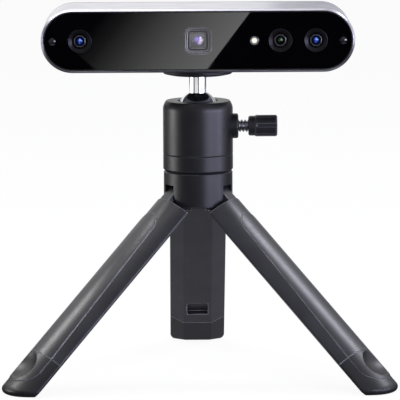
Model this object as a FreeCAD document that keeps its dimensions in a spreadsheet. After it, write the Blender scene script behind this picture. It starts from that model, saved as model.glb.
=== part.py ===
import FreeCAD, Part
import math
import os
import Sketcher
from FreeCAD import Placement, Rotation, Vector

# Hand-held 3-D scanner on a folding pocket tripod with a ball head.
# Millimetres. The scanner looks along -Y, +X is its right as seen from the front, +Z is up.
# Every length hangs on the cells of one sheet; the tripod's axis is the centre of the layout.

doc = FreeCAD.newDocument("Scanner")

# ---------------------------------------------------------------- driving dimensions

DIMENSIONS = (
    # scanner body
    ("scanner_length", 153.0), ("scanner_height", 31.0), ("scanner_depth", 44.0),
    ("shell_wall", 1.6), ("front_wall", 1.0), ("front_chamfer", 0.9), ("bezel_width", 0.6),
    ("bezel_depth", 3.0), ("bezel_shelf", 1.2), ("bezel_setback", 0.15),
    ("glass_setback", 0.45), ("glass_thickness", 1.4), ("glass_gap", 0.08),
    ("cover_thickness", 3.0), ("cover_lip", 2.5), ("lip_wall", 1.2), ("cover_round", 1.6),
    ("fit_gap", 0.15),
    # cameras on the face
    ("camera_inset", 19.0), ("colour_pitch", 17.4), ("ring_width", 11.6),
    ("ring_throat", 5.7), ("ring_depth", 2.4), ("ring_setback", 0.1), ("lens_width", 3.9),
    ("lens_margin", 0.4), ("lens_edge", 0.4), ("lens_dome", 0.9), ("barrel_width", 9.6),
    ("barrel_length", 9.0),
    # light projector
    ("projector_side", 13.5), ("projector_corner", 3.6), ("projector_depth", 5.0),
    ("outer_step", 11.8), ("inner_step", 10.2), ("step_fall", 0.8), ("window_side", 7.7),
    ("window_setback", 2.2), ("window_thickness", 0.7), ("throat_side", 6.5),
    ("projector_barrel", 12.0), ("projector_lens", 5.2), ("projector_dome", 1.0),
    # lamps
    ("flash_pitch", 12.6), ("flash_width", 4.5), ("flash_rim", 0.5), ("flash_depth", 1.6),
    ("flash_setback", 0.35), ("fill_inset", 5.6), ("fill_width", 4.3), ("fill_depth", 2.2),
    ("fill_dome", 0.7),
    # bracket and circuit board
    ("bracket_thickness", 3.0), ("bracket_setback", 6.0), ("post_width", 5.0),
    ("post_inset", 13.5), ("post_rise", 14.0), ("board_thickness", 1.6),
    ("board_margin", 22.5), ("board_gap", 0.5), ("board_setback", 21.0),
    ("board_corner", 1.5), ("board_post_width", 4.0), ("board_post_edge", 2.5),
    ("board_post_gap", 0.7),
    ("chip_margin", 2.0), ("chip_height", 1.2), ("chip_inset", 6.0),
    ("spreader_margin", 12.0), ("spreader_thickness", 1.5), ("fin_height", 5.0),
    ("fin_thickness", 1.0), ("fin_count", 5),
    # threaded bush
    ("insert_width", 9.6), ("insert_depth", 7.0), ("insert_flange", 13.0),
    ("insert_flange_thickness", 1.5), ("insert_floor", 1.0),
    # cover screws
    ("screw_width", 2.5), ("screw_reach", 9.0), ("screw_head", 4.8), ("screw_head_height", 1.4),
    ("screw_recess", 1.7), ("screw_key", 2.4), ("screw_gap", 0.1),
    # rear controls
    ("button_spacing", 15.0), ("scan_width", 10.0), ("side_width", 7.0),
    ("button_stand", 0.8), ("button_gap", 0.25), ("button_travel", 0.6),
    ("button_flange", 0.7), ("button_stem", 3.2), ("key_board_setback", 6.0),
    ("key_board_length", 80.0), ("key_board_height", 18.0), ("key_post_inset", 4.0),
    ("key_post_edge", 2.5), ("key_post_width", 3.0), ("switch_side", 4.6),
    ("switch_height", 1.6), ("usb_inset", 8.0), ("usb_width", 8.94), ("usb_height", 3.16),
    ("usb_wall", 0.35), ("usb_setback", 0.3), ("usb_tongue", 6.6), ("usb_tongue_height", 0.7),
    ("status_offset", 27.0), ("status_width", 2.4),
    # platform and ball
    ("head_width", 34.5), ("platform_thickness", 2.3), ("platform_bevel", 3.2),
    ("pad_thickness", 0.8), ("pad_inset", 0.4), ("pad_hole_gap", 0.6), ("stem_width", 8.6),
    ("stem_rise", 18.0), ("ball_width", 20.2), ("ball_gap", 0.3), ("stud_width", 6.35),
    ("stud_reach", 5.5), ("thread_gap", 0.08),
    # ball seat, as depths under the ball's centre
    ("seat_rim_drop", 3.0), ("flank_top_drop", 4.6), ("flank_foot_drop", 11.5),
    ("flank_run", 5.35), ("seat_bottom_drop", 15.3), ("spring_thickness", 0.6),
    # housing and its base
    ("housing_height", 26.2), ("housing_wall", 2.6), ("ball_setdown", 5.1), ("lip_rise", 4.2),
    ("lip_flare", 0.5), ("ceiling_rise", 1.0), ("rim_inset", 1.55), ("shoulder_drop", 4.2),
    ("base_height", 8.4), ("base_bevel", 1.0), ("spigot_height", 2.4),
    # clamp
    ("clamp_drop", 7.6), ("clamp_width", 6.0), ("collar_width", 12.3), ("collar_stand", 2.65),
    ("collar_shoulder", 1.5), ("knob_gap", 5.0), ("knob_neck", 3.6), ("knob_neck_width", 9.8),
    ("knob_length", 10.6), ("knob_width", 10.6), ("knob_bore", 8.0), ("knob_flutes", 6),
    ("flute_width", 1.7), ("flute_depth", 0.6), ("flute_turn", 22.0),
    # legs
    ("leg_length", 123.3), ("leg_splay", 46.0), ("leg_inset", 0.45), ("leg_core", 4.5),
    ("leg_gap", 0.3), ("leg_round", 0.8), ("shoulder_setback", 7.4), ("band_rise", 0.35),
    ("band_top", 16.5), ("band_width", 16.0), ("band_flare", 21.4), ("band_round", 0.2),
    ("notch_rise", 7.6),
    ("notch_length", 10.0), ("notch_width", 10.8), ("notch_depth", 2.5),
    # hinges
    ("hinge_inset", 7.75), ("pin_width", 3.0), ("pin_inset", 3.9), ("pin_gap", 0.05),
    ("tongue_width", 7.4), ("tongue_round", 5.6), ("tongue_rise", 2.4), ("tongue_inset", 0.85),
    ("slot_gap", 0.3), ("stop_gap", 0.1),
    # feet
    ("foot_length", 16.3), ("seam_gap", 0.15), ("foot_round", 2.2), ("nose_start", 9.8),
    ("nose_lift", 0.5), ("foot_band_length", 8.0), ("scoop_margin", 1.0),
    ("scoop_length", 16.0), ("scoop_width", 13.5), ("scoop_depth", 2.65),
    # crown
    ("crown_inset", 0.25), ("lobe_drop", 4.05), ("lobe_round", 6.0), ("crown_rise", 13.1),
    ("bolt_width", 6.35), ("bolt_head", 10.4), ("bolt_head_height", 3.3), ("bolt_key", 5.0),
    ("bolt_key_depth", 1.8), ("bolt_gap", 0.1), ("well_gap", 0.6),
    # small edges and seams used all over
    ("edge_break", 0.3), ("bevel", 0.6), ("seat_gap", 0.02),
    # where the tripod's axis stands, so that the whole object is centred on the origin
    ("axis_y", 0.0),
)

OVERRUN = 1  # how far a cutting outline runs past the solid that it cuts


class Size:
    """A length or angle that carries its number and the sheet formula that gives it."""

    def __init__(self, number, formula=None):
        self.number = float(number)
        self.formula = formula if formula else "%.9g" % float(number)
        self.fixed = formula is None

    def join(self, other, sign, number):
        other = size(other)
        if self.fixed and other.fixed:
            return Size(number)
        return Size(number, "(%s %s %s)" % (self.formula, sign, other.formula))

    def __add__(self, other):
        return self.join(other, "+", self.number + size(other).number)

    def __sub__(self, other):
        return self.join(other, "-", self.number - size(other).number)

    def __mul__(self, other):
        return self.join(other, "*", self.number * size(other).number)

    def __truediv__(self, other):
        return self.join(other, "/", self.number / size(other).number)

    def __radd__(self, other):
        return size(other) + self

    def __rsub__(self, other):
        return size(other) - self

    def __rmul__(self, other):
        return size(other) * self

    def __neg__(self):
        return size(0) - self


def size(value):
    """A Size from a Size or a plain number."""
    return value if isinstance(value, Size) else Size(value)


def sine(angle):
    return Size(math.sin(math.radians(angle.number)), "sin(%s * 1 deg)" % angle.formula)


def cosine(angle):
    return Size(math.cos(math.radians(angle.number)), "cos(%s * 1 deg)" % angle.formula)


def arc_sine(ratio):
    return Size(math.degrees(math.asin(ratio.number)), "(asin(%s) / 1 deg)" % ratio.formula)


def side(hypotenuse, other):
    """The third side of a right triangle."""
    number = math.sqrt(hypotenuse.number ** 2 - size(other).number ** 2)
    return Size(number, "sqrt(%s ^ 2 - %s ^ 2)" % (hypotenuse.formula, size(other).formula))


class Cells:
    """One attribute for each alias of the sheet."""


sheet = doc.addObject("Spreadsheet::Sheet", "Dimensions")
d = Cells()
for row, (alias, value) in enumerate(DIMENSIONS, start=1):
    sheet.set("A%d" % row, alias.replace("_", " "))
    sheet.set("B%d" % row, str(value))
    sheet.setAlias("B%d" % row, alias)
    setattr(d, alias, Size(value, "Dimensions." + alias))
doc.recompute()

# ---------------------------------------------------------------- drawing helpers

parts = []
TURN_LEFT, TURN_RIGHT = 1, -1


def bind(obj, path, value):
    """Tie one property to the sheet. A plain number that no cell gives needs no tie."""
    value = size(value)
    if not value.fixed:
        obj.setExpression(path, value.formula)


def new_body(label):
    """An empty body that is written out as one piece."""
    body = doc.addObject("PartDesign::Body", label)
    body.Label = label
    parts.append(body)
    return body


def plane(body, role):
    """One of the body's own origin planes or axes."""
    for item in body.Origin.OriginFeatures:
        if item.Role == role:
            return item
    raise ValueError(role)


def new_sketch(body, role, lift=0, shift=0):
    """A sketch on one origin plane, moved along its normal by lift and along X by shift."""
    sketch = body.newObject("Sketcher::SketchObject", "Sketch")
    sketch.AttachmentSupport = (plane(body, role), [""])
    sketch.MapMode = "FlatFace"
    offset = Vector(size(shift).number, 0, size(lift).number)
    sketch.AttachmentOffset = Placement(offset, Rotation())
    bind(sketch, "AttachmentOffset.Base.x", shift)
    bind(sketch, "AttachmentOffset.Base.z", lift)
    return sketch


def pin_point(sketch, geometry, end, x, y):
    """Hold one point of a sketch at (x, y) from the sketch's origin."""
    for kind, axis, value in (("DistanceX", -2, size(x)), ("DistanceY", -1, size(y))):
        if value.fixed and value.number == 0:
            sketch.addConstraint(Sketcher.Constraint("PointOnObject", geometry, end, axis))
        else:
            rule = Sketcher.Constraint(kind, -1, 1, geometry, end, value.number)
            name = "rule%d" % sketch.addConstraint(rule)
            index = int(name[4:])
            sketch.renameConstraint(index, name)
            bind(sketch, "Constraints." + name, value)


def draw_loop(sketch, steps):
    """Draw a closed outline.

    A step (x, y) is a straight line to that point. A step (x, y, cx, cy, turn) is an arc
    to that point about the centre (cx, cy). The outline starts at the last step's point.
    """
    points = [Vector(size(step[0]).number, size(step[1]).number, 0) for step in steps]
    ends = []
    for index, step in enumerate(steps):
        start, stop = points[index - 1], points[index]
        if len(step) == 2:
            item = sketch.addGeometry(Part.LineSegment(start, stop), False)
            ends.append((item, 1, 2))
            continue
        centre = Vector(size(step[2]).number, size(step[3]).number, 0)
        first, last = (start, stop) if step[4] == TURN_LEFT else (stop, start)
        angles = [math.atan2(p.y - centre.y, p.x - centre.x) for p in (first, last)]
        circle = Part.Circle(centre, Vector(0, 0, 1), (start - centre).Length)
        item = sketch.addGeometry(Part.ArcOfCircle(circle, *angles), False)
        ends.append((item, 1, 2) if step[4] == TURN_LEFT else (item, 2, 1))
    for index, (item, unused, stop_end) in enumerate(ends):
        following = ends[(index + 1) % len(ends)]
        sketch.addConstraint(
            Sketcher.Constraint("Coincident", item, stop_end, following[0], following[1]))
    for index, step in enumerate(steps):
        item, unused, stop_end = ends[index]
        pin_point(sketch, item, stop_end, step[0], step[1])
        if len(step) > 2:
            pin_centre(sketch, item, step, points[index] - points[index - 1])


def pin_centre(sketch, item, step, chord):
    """An arc with both ends held keeps one freedom: hold its centre along that way."""
    if abs(chord.y) >= abs(chord.x):
        kind, axis, value = "DistanceX", -2, size(step[2])
    else:
        kind, axis, value = "DistanceY", -1, size(step[3])
    if value.fixed and value.number == 0:
        sketch.addConstraint(Sketcher.Constraint("PointOnObject", item, 3, axis))
        return
    index = sketch.addConstraint(Sketcher.Constraint(kind, -1, 1, item, 3, value.number))
    sketch.renameConstraint(index, "centre%d" % index)
    bind(sketch, "Constraints.centre%d" % index, value)


def draw_circle(sketch, x, y, diameter):
    """Draw a circle held by its centre and radius."""
    centre = Vector(size(x).number, size(y).number, 0)
    radius = size(diameter) / 2
    item = sketch.addGeometry(Part.Circle(centre, Vector(0, 0, 1), radius.number), False)
    pin_point(sketch, item, 3, x, y)
    index = sketch.addConstraint(Sketcher.Constraint("Radius", item, radius.number))
    sketch.renameConstraint(index, "radius%d" % index)
    bind(sketch, "Constraints.radius%d" % index, radius)


def stadium(length, height, x=0, y=0):
    """A bar outline with half-round ends."""
    half = length / 2 - height / 2
    radius = height / 2
    x = size(x)
    y = size(y)
    return ((x + half, y - radius),
            (x + half, y + radius, x + half, y, TURN_LEFT),
            (x - half, y + radius),
            (x - half, y - radius, x - half, y, TURN_LEFT))


def rounded_box(width, height, corner, x=0, y=0):
    """A rectangle with equal round corners."""
    a = size(width) / 2
    b = size(height) / 2
    x, y, r = size(x), size(y), size(corner)
    return ((x + a - r, y - b), (x + a, y - b + r, x + a - r, y - b + r, TURN_LEFT),
            (x + a, y + b - r), (x + a - r, y + b, x + a - r, y + b - r, TURN_LEFT),
            (x - a + r, y + b), (x - a, y + b - r, x - a + r, y + b - r, TURN_LEFT),
            (x - a, y - b + r), (x - a + r, y - b, x - a + r, y - b + r, TURN_LEFT))


def box_loop(left, right, bottom, top):
    return ((right, bottom), (right, top), (left, top), (left, bottom))


def shape_feature(body, kind, sketch, length=None):
    """Add a feature made from a sketch and make it the body's tip."""
    feature = body.newObject("PartDesign::" + kind, kind)
    feature.Profile = sketch
    if length is not None:
        feature.Length = size(length).number
        bind(feature, "Length", length)
    sketch.Visibility = False
    body.Tip = feature
    return feature


def pad(body, role, loops, length, lift=0, circles=(), both_ways=False, reverse=False):
    return extrusion(body, "Pad", role, loops, length, lift, circles, both_ways, reverse)


def pocket(body, role, loops, length, lift=0, circles=(), both_ways=False, reverse=False):
    """Cut an outline out of the body. A pocket that misses the solid is a mistake."""
    doc.recompute()
    before = body.Shape.Volume
    cut = extrusion(body, "Pocket", role, loops, length, lift, circles, both_ways, reverse)
    doc.recompute()
    if body.Shape.Volume > before - 1e-4:
        raise ValueError(body.Label + ": a pocket cuts nothing")
    return cut


def extrusion(body, kind, role, loops, length, lift, circles, both_ways, reverse):
    sketch = new_sketch(body, role, lift)
    for loop in loops:
        draw_loop(sketch, loop)
    for x, y, diameter in circles:
        draw_circle(sketch, x, y, diameter)
    feature = shape_feature(body, kind, sketch, length)
    feature.SideType = "Symmetric" if both_ways else "One side"
    feature.Reversed = reverse
    return feature


def turn(body, loops, kind="Revolution", shift=0):
    """Revolve half sections (radius, height) about the body's Z axis, moved along X by shift."""
    doc.recompute()
    sketch = new_sketch(body, "XZ_Plane", shift=shift)
    for loop in loops:
        draw_loop(sketch, loop)
    feature = shape_feature(body, kind, sketch)
    feature.ReferenceAxis = (sketch, ["V_Axis"])
    feature.Angle = 360
    return feature


def turned(label, *loops):
    """A piece turned about its own Z axis."""
    body = new_body(label)
    turn(body, loops)
    return body


def round_edges(body, radius, choose, kind="Fillet"):
    """Round or chamfer the edges of the tip that the test chooses."""
    doc.recompute()
    base = body.Tip
    names = []
    for index, edge in enumerate(base.Shape.Edges, start=1):
        if choose(edge):
            names.append("Edge%d" % index)
    if not names:
        raise ValueError(body.Label + ": no edge to round")
    feature = body.newObject("PartDesign::" + kind, kind)
    feature.Base = (base, names)
    path = "Radius" if kind == "Fillet" else "Size"
    setattr(feature, path, size(radius).number)
    bind(feature, path, radius)
    body.Tip = feature
    return feature


def repeat_round(body, features, count):
    """Repeat features about the body's Z axis."""
    pattern = body.newObject("PartDesign::PolarPattern", "PolarPattern")
    pattern.Originals = features
    pattern.Axis = (plane(body, "Z_Axis"), [""])
    pattern.Angle = 360
    pattern.Occurrences = count
    body.Tip = pattern
    return pattern


def place(body, x=0, y=0, z=0, rotation=Rotation()):
    """Put a piece in the layout of the tripod's axis."""
    y = size(y) + d.axis_y
    body.Placement = Placement(Vector(size(x).number, y.number, size(z).number), rotation)
    bind(body, "Placement.Base.x", x)
    bind(body, "Placement.Base.y", y)
    bind(body, "Placement.Base.z", z)


def near(value, target, slack=0.02):
    """True where a measured number is the target."""
    return abs(value - size(target).number) < slack


def spans(edge, axis):
    """True for a straight edge that runs along one axis only."""
    if len(edge.Vertexes) != 2:
        return False
    if not isinstance(edge.Curve, Part.Line):
        return False
    run = edge.Vertexes[1].Point - edge.Vertexes[0].Point
    return abs(abs(run[axis]) - run.Length) < 1e-4


def bow_radius(half, rise):
    """Radius of the arc that rises by that much over a chord of twice the half."""
    return (half * half + rise * rise) / (2 * rise)


def dome_end(radius, edge, rise):
    """The last two steps of a turned outline that ends in a shallow dome over an edge."""
    sphere = bow_radius(radius, rise)
    top = edge + rise
    return (radius, edge), (0, top, 0, top - sphere, TURN_LEFT)


FORWARD = Rotation(Vector(1, 0, 0), 90)
BACKWARD = Rotation(Vector(1, 0, 0), -90)
SIDEWAYS = Rotation(Vector(0, 1, 0), 90)

# ---------------------------------------------------------------- heights and radii

head_radius = d.head_width / 2
hinge_radius = head_radius - d.hinge_inset
hinge_height = d.leg_length * cosine(d.leg_splay) + (hinge_radius - d.leg_core) * sine(d.leg_splay)
crown_top = hinge_height + d.crown_rise
base_top = crown_top + d.base_height
ball_height = base_top + d.housing_height - d.ball_setdown
platform_bottom = ball_height + d.stem_rise
platform_top = platform_bottom + d.platform_thickness
scanner_bottom = platform_top + d.pad_thickness
scanner_middle = scanner_bottom + d.scanner_height / 2
face_front = -d.scanner_depth / 2
glass_front = face_front + d.glass_setback
glass_rear = glass_front + d.glass_thickness
cover_front = d.scanner_depth / 2 - d.cover_thickness


def slab(label, loops, front, rear, circles=()):
    """A scanner piece of one section, from its front face to its rear face."""
    body = new_body(label)
    pad(body, "XZ_Plane", loops, rear - front, lift=-rear, circles=circles)
    place(body, z=scanner_middle)
    return body


def face_turned(label, x, *loops):
    """A turned scanner piece: height 0 is the front of the glass, heights grow forwards."""
    body = turned(label, *loops)
    place(body, x=x, y=glass_front, z=scanner_middle, rotation=FORWARD)
    return body


# ---------------------------------------------------------------- scanner shell and face

inside_length = d.scanner_length - 2 * d.shell_wall
inside_height = d.scanner_height - 2 * d.shell_wall
glass_inset = d.front_wall + d.bezel_width
camera_x = d.scanner_length / 2 - d.camera_inset
colour_x = camera_x - d.colour_pitch
flash_x = colour_x - d.flash_pitch
fill_x = d.scanner_length / 2 - d.fill_inset
CAMERAS = (("left", -camera_x), ("colour", colour_x), ("right", camera_x))


def inset_stadium(inset):
    return stadium(d.scanner_length - 2 * inset, d.scanner_height - 2 * inset)


def make_shell():
    """The extruded sleeve, thinned at the front for the bezel, with a bevelled front edge."""
    body = slab("scanner_shell", [inset_stadium(size(0)), inset_stadium(d.shell_wall)],
                face_front, cover_front)
    pocket(body, "XZ_Plane", [inset_stadium(d.front_wall)], d.bezel_depth, lift=-face_front)

    def front_outer(edge):
        box = edge.BoundBox
        flat = near(box.YMin, face_front) and near(box.YMax, face_front)
        return flat and on_outline(edge)

    def on_outline(edge):
        point = edge.valueAt((edge.FirstParameter + edge.LastParameter) / 2)
        past = abs(point.x) - (d.scanner_length - d.scanner_height).number / 2
        reach = math.hypot(max(past, 0), point.z)
        return abs(reach - d.scanner_height.number / 2) < 0.02

    round_edges(body, d.front_chamfer, front_outer, kind="Chamfer")
    pocket(body, "XY_Plane", [], d.shell_wall + 2 * OVERRUN, reverse=True,
           lift=-d.scanner_height / 2 - OVERRUN,
           circles=[(0, 0, d.insert_width + 2 * d.thread_gap)])


def make_bezel():
    """A dark ring between the sleeve and the glass, with a shelf behind the glass."""
    outer = inset_stadium(d.front_wall + d.glass_gap)
    body = slab("front_bezel", [outer, inset_stadium(glass_inset)],
                face_front + d.bezel_setback, glass_rear)
    shelf = face_front + d.bezel_depth
    pad(body, "XZ_Plane", [outer, inset_stadium(glass_inset + d.bezel_shelf)],
        shelf - glass_rear, lift=-shelf)


def make_glass():
    holes = [(x, 0, d.ring_width) for unused, x in CAMERAS]
    holes.append((flash_x, 0, d.flash_width))
    holes += [(x, 0, d.fill_width) for x in (-fill_x, fill_x)]
    window = rounded_box(d.projector_side, d.projector_side, d.projector_corner)
    slab("front_glass", [inset_stadium(glass_inset + d.glass_gap), window],
         glass_front, glass_rear, circles=holes)


make_shell()
make_bezel()
make_glass()

# ---------------------------------------------------------------- cameras and lights

ring_front = -d.ring_setback
ring_rear = -d.ring_depth
barrel_rear = ring_rear - d.barrel_length


def make_camera(side_name, x):
    """A bezel ring round a funnel, the lens at its bottom and the camera's barrel behind."""
    outer = d.ring_width / 2 - d.glass_gap
    barrel = d.barrel_width / 2
    throat = d.ring_throat / 2
    lens = d.lens_width / 2
    face_turned(side_name + "_camera_ring", x,
                ((throat, ring_front), (lens + d.lens_margin, ring_rear), (barrel, ring_rear),
                 (barrel, -d.glass_thickness), (outer, -d.glass_thickness),
                 (outer, ring_front)))
    face_turned(side_name + "_camera_barrel", x,
                ((0, barrel_rear), (barrel, barrel_rear), (barrel, ring_rear),
                 (0, ring_rear)))
    face_turned(side_name + "_camera_lens", x,
                ((0, ring_rear), (lens, ring_rear),
                 *dome_end(lens, ring_rear + d.lens_edge, d.lens_dome)))


def well_outline(width):
    """A square of the projector's well, its corners concentric with the outermost ones."""
    width = size(width)
    return rounded_box(width, width, d.projector_corner - (d.projector_side - width) / 2)


def make_projector():
    """A square light well in steps, its window pane, and the lens in a barrel behind it."""
    front = glass_front + d.glass_gap
    rear = glass_front + d.projector_depth
    body = slab("projector_frame", [well_outline(d.projector_side - 2 * d.glass_gap)],
                front, rear)
    pane_rear = d.window_setback + d.window_thickness
    for width, depth in ((d.outer_step, d.step_fall), (d.inner_step, 2 * d.step_fall),
                         (d.window_side, pane_rear)):
        pocket(body, "XZ_Plane", [well_outline(width)], depth, lift=-front)
    throat = rounded_box(d.throat_side, d.throat_side, d.bevel)
    pocket(body, "XZ_Plane", [throat], d.projector_depth, lift=-front)
    slab("projector_window", [well_outline(d.window_side - 2 * d.glass_gap)],
         front + d.window_setback, front + pane_rear)
    barrel = d.projector_barrel / 2
    start = -d.projector_depth
    face_turned("projector_barrel", 0,
                ((0, start - d.barrel_length), (barrel, start - d.barrel_length),
                 (barrel, start), (0, start)))
    lens = d.projector_lens / 2
    face_turned("projector_lens", 0,
                ((0, start), (lens, start),
                 *dome_end(lens, start + d.lens_edge, d.projector_dome)))


def make_lights():
    """The flash in its thin ring, and a domed lamp at each end of the face."""
    outer = d.flash_width / 2 - d.glass_gap
    led = outer - d.flash_rim
    rear = -d.flash_depth
    face_turned("flash_ring", flash_x,
                ((led, rear), (outer, rear), (outer, ring_front), (led, ring_front)))
    body = face_turned("flash_led", flash_x,
                       ((0, rear), (led - d.seat_gap, rear),
                        (led - d.seat_gap, -d.flash_setback), (0, -d.flash_setback)))
    round_edges(body, d.edge_break, lambda edge: near(edge.BoundBox.ZMin, -d.flash_setback),
                kind="Chamfer")
    lamp = d.fill_width / 2 - d.glass_gap
    for name, x in (("left_fill_led", -fill_x), ("right_fill_led", fill_x)):
        face_turned(name, x,
                    ((0, -d.fill_depth), (lamp, -d.fill_depth),
                     *dome_end(lamp, ring_front - d.fill_dome, d.fill_dome)))


for camera_name, x_place in CAMERAS:
    make_camera(camera_name, x_place)
make_projector()
make_lights()

# ---------------------------------------------------------------- inside the scanner

bracket_front = face_front + d.bracket_setback
bracket_rear = bracket_front + d.bracket_thickness
board_front = face_front + d.board_setback
board_rear = board_front + d.board_thickness
CORNERS = ((-1, -1), (-1, 1), (1, -1), (1, 1))
POSTS = [(x * (d.scanner_length / 2 - d.post_inset), z * d.post_rise / 2) for x, z in CORNERS]
board_length = d.scanner_length - 2 * d.board_margin
board_height = d.scanner_height - 2 * (d.insert_depth + d.board_gap)
chip_side = board_height - 2 * d.chip_margin
spreader_length = board_length - 2 * d.spreader_margin
chip_pitch = (spreader_length - chip_side) / 2 - d.chip_inset


def make_bracket():
    """A bulkhead that carries the optics, with posts for the board and the rear cover."""
    edge = d.shell_wall + d.fit_gap
    holes = [(x, 0, d.barrel_width + 2 * d.glass_gap) for unused, x in CAMERAS]
    holes.append((0, 0, d.projector_barrel + 2 * d.glass_gap))
    body = slab("optics_bracket", [inset_stadium(edge)], bracket_front, bracket_rear,
                circles=holes)
    corner_x = camera_x - (d.barrel_width + d.board_post_width) / 2 - d.board_post_gap
    corner_z = board_height / 2 - d.board_post_edge
    pad(body, "XZ_Plane", [], board_front - bracket_rear, lift=-board_front,
        circles=[(x * corner_x, z * corner_z, d.board_post_width) for x, z in CORNERS])
    pad(body, "XZ_Plane", [], cover_front - bracket_rear, lift=-cover_front,
        circles=[(x, z, d.post_width) for x, z in POSTS])
    pocket(body, "XZ_Plane", [], d.screw_reach + OVERRUN, lift=-cover_front, reverse=True,
           circles=[(x, z, d.screw_width + 2 * d.seat_gap) for x, z in POSTS])


def make_board():
    """The main circuit board with its three large chips."""
    body = slab("mainboard", [rounded_box(board_length, board_height, d.board_corner)],
                board_front, board_rear)
    chips = [rounded_box(chip_side, chip_side, d.edge_break, step * chip_pitch)
             for step in (-1, 0, 1)]
    pad(body, "XZ_Plane", chips, d.chip_height, lift=-board_rear - d.chip_height)


def make_spreader():
    """A finned plate that lies on the chips."""
    front = board_rear + d.chip_height
    rear = front + d.spreader_thickness
    height = board_height - 2 * d.board_corner
    body = slab("heat_spreader", [rounded_box(spreader_length, height, d.board_corner)],
                front, rear)
    half = spreader_length / 2 - d.board_corner
    count = int(d.fin_count.number)
    pitch = (height - d.fin_thickness) / (count - 1)
    for row in range(count):
        low = row * pitch - height / 2
        pad(body, "XZ_Plane", [box_loop(-half, half, low, low + d.fin_thickness)],
            d.fin_height, lift=-rear - d.fin_height)


def make_insert():
    """The threaded bush that the tripod's screw goes into."""
    outer = d.insert_width / 2
    bore = d.stud_width / 2 + d.thread_gap
    flange = d.insert_flange / 2
    seat = d.shell_wall + d.seat_gap
    back = seat + d.insert_flange_thickness
    floor = d.insert_depth - d.insert_floor
    body = turned("tripod_insert",
                  ((bore, d.edge_break), (bore + d.edge_break, 0), (outer, 0), (outer, seat),
                   (flange, seat), (flange, back), (outer, back), (outer, d.insert_depth),
                   (0, d.insert_depth), (0, floor), (bore, floor)))
    place(body, z=scanner_bottom)


make_bracket()
make_board()
make_spreader()
make_insert()

# ---------------------------------------------------------------- rear cover and controls

cover_rear = d.scanner_depth / 2
key_board_rear = cover_rear - d.key_board_setback
switch_top = key_board_rear + d.switch_height
usb_offset = d.key_board_length / 2 - d.usb_inset
KEY_POSTS = [(x * (d.key_board_length / 2 - d.key_post_inset),
              z * (d.key_board_height / 2 - d.key_post_edge)) for x, z in CORNERS]
BUTTONS = (("dimmer_button", -d.button_spacing, d.side_width),
           ("scan_button", size(0), d.scan_width),
           ("brighter_button", d.button_spacing, d.side_width))


def rear_x(x):
    """Places on the rear are counted as seen from behind."""
    return -size(x)


def usb_outline(gap):
    """The port's flattened outline, grown by a gap."""
    width = d.usb_width + 2 * gap
    height = d.usb_height + 2 * gap
    return rounded_box(width, height, height / 2 - d.seat_gap, rear_x(-usb_offset))


def make_cover():
    """The rear cap: a lip inside the sleeve, holes for the controls, posts for their board."""
    body = slab("rear_cover", [inset_stadium(size(0))], cover_front, cover_rear)

    def rear_edge(edge):
        box = edge.BoundBox
        return near(box.YMin, cover_rear) and near(box.YMax, cover_rear)

    round_edges(body, d.cover_round, rear_edge)
    lip = d.shell_wall + d.fit_gap
    pad(body, "XZ_Plane", [inset_stadium(lip), inset_stadium(lip + d.lip_wall)], d.cover_lip,
        lift=-cover_front)
    pad(body, "XZ_Plane", [], cover_front - key_board_rear, lift=-cover_front,
        circles=[(x, z, d.key_post_width) for x, z in KEY_POSTS])
    holes = [(rear_x(x), 0, width + 2 * d.button_gap) for unused, x, width in BUTTONS]
    holes.append((rear_x(d.status_offset), 0, d.status_width + d.screw_gap))
    holes += [(x, z, d.screw_width + 2 * d.screw_gap) for x, z in POSTS]
    pocket(body, "XZ_Plane", [usb_outline(d.fit_gap)], d.cover_thickness + 2 * OVERRUN,
           lift=-cover_rear - OVERRUN, circles=holes, reverse=True)
    pocket(body, "XZ_Plane", [], d.screw_recess, lift=-cover_rear, reverse=True,
           circles=[(x, z, d.screw_head + 4 * d.screw_gap) for x, z in POSTS])


def make_button(name, x, width):
    """A push button: a cap through the cover, a flange behind it and a stem to its switch."""
    cap = width / 2
    flange = cap + d.button_flange
    stem = d.button_stem / 2
    stand = cover_rear + d.button_stand
    foot = switch_top + d.button_travel + d.slot_gap
    under = cover_front - d.screw_gap
    back = under - d.edge_break
    body = turned(name, ((0, foot), (stem, foot), (stem, back), (flange, back), (flange, under),
                         (cap, under), (cap, stand - d.edge_break),
                         (cap - d.edge_break, stand), (0, stand)))
    place(body, x=rear_x(x), z=scanner_middle, rotation=BACKWARD)


def make_controls():
    """Buttons that slide in the cover, their board with its switches, the light and socket."""
    body = slab("button_board",
                [rounded_box(d.key_board_length, d.key_board_height, d.board_corner)],
                key_board_rear - d.board_thickness, key_board_rear)
    pad(body, "XZ_Plane",
        [rounded_box(d.switch_side, d.switch_side, d.edge_break, rear_x(x))
         for unused, x, width in BUTTONS], d.switch_height, lift=-switch_top)
    for name, x, width in BUTTONS:
        make_button(name, x, width)
    light = d.status_width / 2
    face = cover_rear - d.screw_gap
    body = turned("status_light", ((0, key_board_rear), (light, key_board_rear), (light, face),
                                   (0, face)))
    place(body, x=rear_x(d.status_offset), z=scanner_middle, rotation=BACKWARD)
    mouth = cover_rear - d.usb_setback
    depth = mouth - key_board_rear
    socket = slab("usb_socket", [usb_outline(size(0))], key_board_rear, mouth)
    pocket(socket, "XZ_Plane", [usb_outline(-d.usb_wall)], depth - 2 * d.usb_wall,
           lift=-mouth, reverse=True)
    tongue = rounded_box(d.usb_tongue, d.usb_tongue_height, d.usb_tongue_height / 3,
                         rear_x(-usb_offset))
    pad(socket, "XZ_Plane", [tongue], depth - 4 * d.usb_wall, lift=-mouth + 2 * d.usb_wall)


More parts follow.
